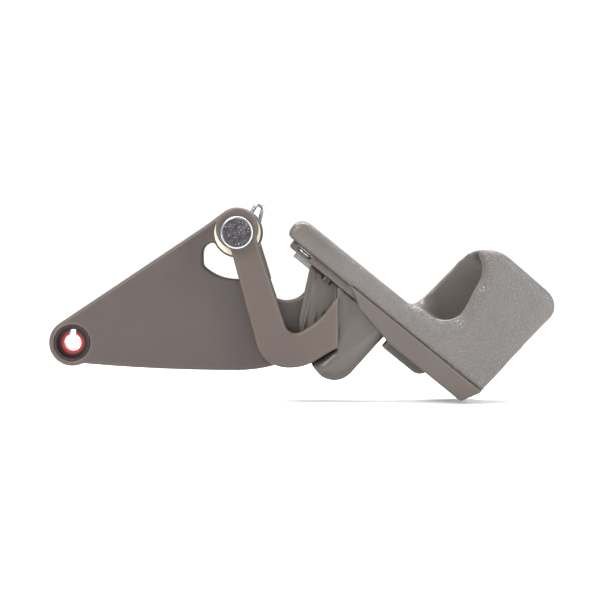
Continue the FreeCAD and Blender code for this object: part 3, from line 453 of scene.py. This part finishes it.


# The second colour of each moulding is the painted highlight on its rounded edges.
MATERIALS = {
    "lever_moulding": smooth_moulding("lever_moulding", (0.062, 0.048, 0.045, 1), (0.27, 0.18, 0.11, 1)),
    "arm_moulding": smooth_moulding("arm_moulding", (0.077, 0.058, 0.050, 1), (0.24, 0.165, 0.105, 1)),
    "housing_moulding": smooth_moulding("housing_moulding", (0.070, 0.059, 0.051, 1), (0.19, 0.16, 0.135, 1),
                                        roughness=0.3, gloss=0.6),
    "skirt_moulding": smooth_moulding("skirt_moulding", (0.084, 0.067, 0.059, 1), (0.17, 0.138, 0.115, 1)),
    "guide_moulding": smooth_moulding("guide_moulding", (0.060, 0.049, 0.044, 1), (0.2, 0.17, 0.14, 1),
                                      roughness=0.28),
    "grip_moulding": grained_moulding("grip_moulding", (0.112, 0.101, 0.094, 1), (0.24, 0.228, 0.22, 1)),
    "pale_nylon": smooth_moulding("pale_nylon", (0.78, 0.74, 0.58, 1), (0.85, 0.83, 0.7, 1), roughness=0.4),
    "eye_liner": smooth_moulding("eye_liner", (0.008, 0.003, 0.003, 1), (0.04, 0.014, 0.012, 1),
                                 roughness=0.4),
    "red_sleeve": eye_red("red_sleeve", (0.60, 0.012, 0.010, 1), (0.012, 0.003, 0.004, 1)),
    "bush_steel": plain_metal("bush_steel", (0.52, 0.5, 0.47, 1), (0.25, 0.23, 0.2, 1), roughness=0.3),
    "cam_steel": plain_metal("cam_steel", (0.30, 0.29, 0.28, 1), (0.12, 0.11, 0.1, 1),
                             roughness=0.38, pits=0.6),
    "pin_steel": plain_metal("pin_steel", (0.55, 0.54, 0.53, 1), (0.3, 0.29, 0.28, 1), roughness=0.25),
    "screw_steel": plain_metal("screw_steel", (0.06, 0.058, 0.055, 1), (0.03, 0.028, 0.026, 1),
                               roughness=0.35, streaks=0.15),
    "zinc_washer": plain_metal("zinc_washer", (0.6, 0.6, 0.6, 1), (0.34, 0.34, 0.33, 1), roughness=0.3),
    "pin_plated": plain_metal("pin_plated", (0.56, 0.56, 0.58, 1), (0.25, 0.25, 0.27, 1),
                              roughness=0.12, streaks=0.1, pits=0.15, tarnish=0.45),
    "spring_wire": plain_metal("spring_wire", (0.5, 0.52, 0.54, 1), (0.16, 0.17, 0.17, 1),
                               roughness=0.12, streaks=0.3, pits=0.1, tarnish=0.6),
    "shoe_steel": plain_metal("shoe_steel", (0.34, 0.33, 0.31, 1), (0.16, 0.15, 0.135, 1),
                              roughness=0.3, streaks=0.4),
}
STRUCK_HEAD = struck_head("pin_struck_face")


# ---------------------------------------------------------------- meshes

def finish_piece(piece, node, material=None, replaced=()):
    """Gives a piece its node's body and a finish, by default the one that the node's slot names, and hides
    the nodes that it stands for.
    """
    bpy.context.scene.collection.objects.link(piece)
    piece.data.materials.clear()
    piece.data.materials.append(material or MATERIALS[SLOT_OF[node]])
    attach(piece, BODY_OF[node])
    if replaced:
        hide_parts(*replaced)
    return piece


def smoothstep(value, low, high):
    """0 below low and 1 above high, or the other way round when low is above high."""
    share = np.clip((value - low) / (high - low), 0.0, 1.0)
    return share * share * (3 - 2 * share)


def rail_frame(places):
    """Millimetres down the rail and out of its top, for an array of places in metres."""
    shifted = places - np.array(RAIL_START)
    return shifted @ np.array(DOWN_RAIL) / MM, shifted @ np.array(OUT_OF_RAIL) / MM


def relaxed(places, edges, rounds):
    """Each point moves halfway to the mean of its neighbours, many times over."""
    count = len(places)
    first, second = edges[:, 0], edges[:, 1]
    touching = np.bincount(first, minlength=count) + np.bincount(second, minlength=count)
    touching = np.maximum(touching, 1)[:, None]
    for _ in range(rounds):
        total = np.empty_like(places)
        for axis in range(3):
            total[:, axis] = (np.bincount(first, places[second, axis], count)
                              + np.bincount(second, places[first, axis], count))
        places = (places + total / touching) / 2
    return places


def softened(node, voxel, rounds, ease=None, shape=None):
    """A moulding with its edges eased, as it comes off a real tool: remeshed, then relaxed.

    ease says how far each point may relax, 0 to 1; shape then moves the points."""
    rough = bpy.data.objects.new(node + "_blank", NODES[node].data.copy())
    bpy.context.scene.collection.objects.link(rough)
    remesh = rough.modifiers.new("even_mesh", "REMESH")
    remesh.mode = "VOXEL"
    remesh.voxel_size = voxel * MM
    bpy.context.view_layer.update()
    mesh = bpy.data.meshes.new_from_object(rough.evaluated_get(bpy.context.evaluated_depsgraph_get()))
    bpy.data.objects.remove(rough)
    places = np.empty(len(mesh.vertices) * 3)
    mesh.vertices.foreach_get("co", places)
    places = places.reshape(-1, 3)
    edges = np.empty(len(mesh.edges) * 2, dtype=np.int32)
    mesh.edges.foreach_get("vertices", edges)
    edges = edges.reshape(-1, 2)
    start = places
    free = np.ones(len(places)) if ease is None else ease(places)
    places = start + (relaxed(start, edges, rounds) - start) * free[:, None]
    if shape is not None:
        places = shape(places)
    mesh.vertices.foreach_set("co", places.ravel())
    mesh.update()
    mesh.shade_smooth()
    return finish_piece(bpy.data.objects.new(node + "_moulded", mesh), node, replaced=(node,))


def above_parting_line(places):
    """The cover keeps a crisp lower edge where it meets the skirt."""
    _, out = rail_frame(places)
    return smoothstep(out, 0.4, 3.0)


def below_parting_line(places):
    """The skirt keeps a crisp upper edge where it meets the cover."""
    _, out = rail_frame(places)
    return smoothstep(out, -1.2, -3.4)


def beyond_lip(down, out):
    """Millimetres outside the scoop in the loop's front wall, which has rounded corners."""
    floor = SCOOP_FLOOR - out
    roof = out - SCOOP_ROOF
    front = (down - SCOOP_FRONT) * SCOOP_RISE + (out - SCOOP_FLOOR) * SCOOP_LEAN
    front = front / math.hypot(SCOOP_RISE, SCOOP_LEAN)
    reach = [np.maximum(side + SCOOP_CORNER, 0.0) for side in (floor, roof, front)]
    return np.sqrt(sum(side ** 2 for side in reach)) - SCOOP_CORNER


def crowned_grip(places):
    """The finger loop's two walls fall away towards their rims, like a pillow."""
    down, out = rail_frame(places)
    across = places[:, 1] / MM
    from_heart = (((down - CROWN_HEART[0]) / CROWN_REACH[0]) ** 2
                  + ((out - CROWN_HEART[1]) / CROWN_REACH[1]) ** 2)
    fall = CROWN_FALL * np.clip(from_heart - 0.25, 0.0, 1.4) * smoothstep(down, 40.0, 62.0)
    lip = smoothstep(beyond_lip(down, out), 5.5, -0.5) * (across < 0)
    fall += LIP_FALL * lip * smoothstep(down, 45.0, 52.0)
    fall *= smoothstep(np.abs(across), 12.0, 16.5) * smoothstep(out, 0.5, 8.0)
    moved = places.copy()
    moved[:, 1] = np.sign(across) * (np.abs(across) - fall) * MM
    sunk = COVER_SINK * smoothstep(out, 1.0, 0.4)
    return moved - sunk[:, None] * MM * np.array(OUT_OF_RAIL)


def clear_of_lobe(places):
    """The arms keep a crisp foot where they stand against the throat's lobes."""
    return smoothstep(places[:, 0] / MM, *FOOT_KEPT)


def into_lobe(places):
    """The arm's foot runs a little way into the lobe, so no gap shows."""
    moved = places.copy()
    moved[:, 0] += FOOT_DEPTH * MM * smoothstep(places[:, 0] / MM, *FOOT_SUNK)
    return moved


def clear_of_arms(places):
    """The lobes keep a flat face where the arms stand on them."""
    return smoothstep(np.abs(places[:, 0] / MM - LOBE_FACE), 0.8, 3.0)


def beside_line(places, start, end):
    """Signed millimetres to the left of a line from start to end, in X and Z."""
    run, rise = end[0] - start[0], end[1] - start[1]
    length = math.hypot(run, rise)
    return ((places[:, 2] / MM - start[1]) * run - (places[:, 0] / MM - start[0]) * rise) / length


def faceted_lobes(places):
    """The lobes' toe is a bevelled facet, and the cheeks carry two upright ribs."""
    moved = places.copy()
    across = places[:, 1] / MM
    on_lobe = smoothstep(np.abs(across), 9.5, 13.0)
    toe = np.clip(beside_line(places, *TOE_LINE) * TOE_SLOPE, 0.0, TOE_DEPTH)
    fork = np.clip(beside_line(places, *FORK_LINE) * FORK_SLOPE, 0.0, FORK_DEPTH)
    down, out = rail_frame(places)
    from_edge = (down - CHEEK_CORNER[0]) * CHEEK_EDGE_WAY[0] + (out - CHEEK_CORNER[1]) * CHEEK_EDGE_WAY[1]
    ribs = sum(np.exp(-((from_edge - inset) / RIB_WIDTH) ** 2) for inset in RIB_INSETS) * RIB_HEIGHT
    on_cheek = smoothstep(np.abs(across), 8.0, 8.8) * smoothstep(np.abs(across), 9.6, 9.2)
    on_cheek *= smoothstep(places[:, 0] / MM, 97.0, 94.0) * smoothstep(out, -3.6, -5.0)
    change = ribs * on_cheek - (toe + fork) * on_lobe
    moved[:, 1] = np.sign(across) * (np.abs(across) + change) * MM
    return moved


def rough_disc(name, centre, radius, depth, rings, seed_scale):
    """A coarse forged face: rings of points pushed in and out by noise, facing forward."""
    mesh = bpy.data.meshes.new(name)
    form = bmesh.new()
    spokes = 8 * rings
    previous = None
    hub = form.verts.new(centre)
    for ring in range(1, rings + 1):
        reach = radius * ring / rings
        row = []
        for spoke in range(spokes):
            angle = 2 * math.pi * spoke / spokes
            place = Vector((reach * math.cos(angle), 0, reach * math.sin(angle)))
            lift = noise.noise(place * seed_scale) * depth if ring < rings else 0.0
            row.append(form.verts.new(centre + place + Vector((0, -lift, 0))))
        for spoke in range(spokes):
            ahead = (spoke + 1) % spokes
            if previous is None:
                form.faces.new((hub, row[spoke], row[ahead]))
            else:
                form.faces.new((previous[spoke], row[spoke], row[ahead], previous[ahead]))
        previous = row
    bmesh.ops.recalc_face_normals(form, faces=form.faces)
    form.to_mesh(mesh)
    form.free()
    mesh.shade_smooth()
    return bpy.data.objects.new(name, mesh)


def build_pin_face():
    """Coarse struck face, set into the recess of the pin's head."""
    low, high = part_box("pivot_pin")
    centre = Vector(((low.x + high.x) / 2, low.y + PIN_FACE_SINK * MM, (low.z + high.z) / 2))
    face = rough_disc("pin_struck_face", centre, PIN_FACE_RADIUS * MM, PIN_FACE_DEPTH * MM,
                      PIN_FACE_RINGS, PIN_FACE_GRAIN)
    return finish_piece(face, "pivot_pin", material=STRUCK_HEAD)


def rounded_bar(name, low, high, edge):
    """A bar between two places in the rail's frame, with its edges rounded."""
    mesh = bpy.data.meshes.new(name)
    form = bmesh.new()
    corners = [form.verts.new(on_rail(down, across, out))
               for down in (low[0], high[0]) for across in (low[1], high[1]) for out in (low[2], high[2])]
    for face in ((0, 1, 3, 2), (4, 6, 7, 5), (0, 4, 5, 1), (2, 3, 7, 6), (0, 2, 6, 4), (1, 5, 7, 3)):
        form.faces.new([corners[index] for index in face])
    bmesh.ops.recalc_face_normals(form, faces=form.faces)
    bmesh.ops.bevel(form, geom=form.edges[:], offset=edge * MM, segments=3, affect="EDGES")
    form.to_mesh(mesh)
    form.free()
    mesh.shade_smooth()
    return bpy.data.objects.new(name, mesh)


def build_latch_strip():
    """Bright spring strip that shows through the slot under the rail's nose."""
    strip = rounded_bar("latch_strip", STRIP_LOW, STRIP_HIGH, STRIP_EDGE)
    return finish_piece(strip, "rope_shoe", material=MATERIALS["spring_wire"])


def dress_cad_nodes():
    """Gives every CAD node the finish that its slot names."""
    for name, node in NODES.items():
        node.material_slots[0].material = MATERIALS[SLOT_OF[name]]


# ---------------------------------------------------------------- studio

def area_light(name, place, aim, size, power, colour=(1, 1, 1)):
    light = bpy.data.lights.new(name, "AREA")
    light.shape = "RECTANGLE"
    light.size, light.size_y = size
    light.energy = power
    light.color = colour
    lamp = bpy.data.objects.new(name, light)
    lamp.location = place
    lamp.rotation_euler = (Vector(aim) - Vector(place)).to_track_quat("-Z", "Y").to_euler()
    bpy.context.scene.collection.objects.link(lamp)


def build_floor():
    """Pale floor that bends up into a wall behind the grab, clear when seen from below."""
    floor_z = CAD_BOX[0][2] - FLOOR_GAP
    mesh = bpy.data.meshes.new("floor_sweep")
    form = bmesh.new()
    profile = [(FLOOR_FRONT, 0.0), (FLOOR_BACK, 0.0)]
    for step in range(1, BEND_STEPS + 1):
        angle = math.pi / 2 * step / BEND_STEPS
        profile.append((FLOOR_BACK + BEND_RADIUS * math.sin(angle), BEND_RADIUS * (1 - math.cos(angle))))
    profile.append((FLOOR_BACK + BEND_RADIUS, WALL_TOP))
    rows = [[form.verts.new((side, away, floor_z + up)) for away, up in profile]
            for side in (-FLOOR_HALF_WIDTH, FLOOR_HALF_WIDTH)]
    for near, far in zip(range(len(profile) - 1), range(1, len(profile))):
        form.faces.new((rows[0][near], rows[1][near], rows[1][far], rows[0][far]))
    form.to_mesh(mesh)
    form.free()
    mesh.shade_smooth()
    floor = bpy.data.objects.new("floor_sweep", mesh)
    material, tree, shader = new_material("pale_floor")
    shader.inputs["Base Color"].default_value = (0.9, 0.9, 0.9, 1)
    shader.inputs["Roughness"].default_value = 0.8
    shader.inputs["Emission Color"].default_value = (1, 1, 1, 1)
    shader.inputs["Emission Strength"].default_value = 0.14
    clear = tree.nodes.new("ShaderNodeBsdfTransparent")
    either = tree.nodes.new("ShaderNodeMixShader")
    tree.links.new(tree.nodes.new("ShaderNodeNewGeometry").outputs["Backfacing"], either.inputs[0])
    tree.links.new(shader.outputs["BSDF"], either.inputs[1])
    tree.links.new(clear.outputs["BSDF"], either.inputs[2])
    tree.links.new(either.outputs["Shader"], tree.nodes["Material Output"].inputs["Surface"])
    mesh.materials.append(material)
    bpy.context.scene.collection.objects.link(floor)


def build_lights():
    """A soft white room, with softboxes in front, at the right and above."""
    heart = (Vector(CAD_BOX[0]) + Vector(CAD_BOX[1])) / 2
    world = bpy.data.worlds.new("soft_room")
    world.use_nodes = True
    background = world.node_tree.nodes["Background"]
    background.inputs["Color"].default_value = (1.0, 1.0, 1.0, 1)
    background.inputs["Strength"].default_value = 0.7
    bpy.context.scene.world = world
    bpy.context.scene.view_settings.view_transform = "Standard"
    area_light("key_softbox", (-0.35, -0.55, 0.65), heart, (0.5, 0.4), 7.5)
    area_light("right_softbox", (0.65, -0.35, 0.25), heart, (0.35, 0.6), 4.0, (0.9, 0.95, 1.0))
    area_light("top_strip", (0.1, 0.25, 0.6), heart, (0.8, 0.25), 7.0)


def build_camera():
    """Long lens, square to the side of the grab and a touch above it."""
    aim = Vector(CAD_BOX[0]) + CAMERA_AIM
    camera = bpy.data.objects.new("front_camera", bpy.data.cameras.new("front_camera"))
    camera.data.lens = CAMERA_LENS
    camera.data.sensor_width = 36
    camera.data.clip_start = 0.01
    camera.location = aim + Vector((0, -math.cos(CAMERA_LIFT), math.sin(CAMERA_LIFT))) * CAMERA_DISTANCE
    camera.rotation_euler = (math.pi / 2 - CAMERA_LIFT, 0, 0)
    bpy.context.scene.collection.objects.link(camera)
    bpy.context.scene.camera = camera


dress_cad_nodes()
softened("handle_cover", voxel=0.8, rounds=22, ease=above_parting_line, shape=crowned_grip)
softened("throat_housing", voxel=0.5, rounds=7, ease=clear_of_arms, shape=faceted_lobes)
softened("skirt_frame", voxel=0.6, rounds=8, ease=below_parting_line)
softened("front_arm", voxel=0.5, rounds=6, ease=clear_of_lobe, shape=into_lobe)
softened("rear_arm", voxel=0.5, rounds=6, ease=clear_of_lobe, shape=into_lobe)
softened("lever_plate", voxel=0.6, rounds=3)
build_pin_face()
build_latch_strip()
build_floor()
build_lights()
build_camera()
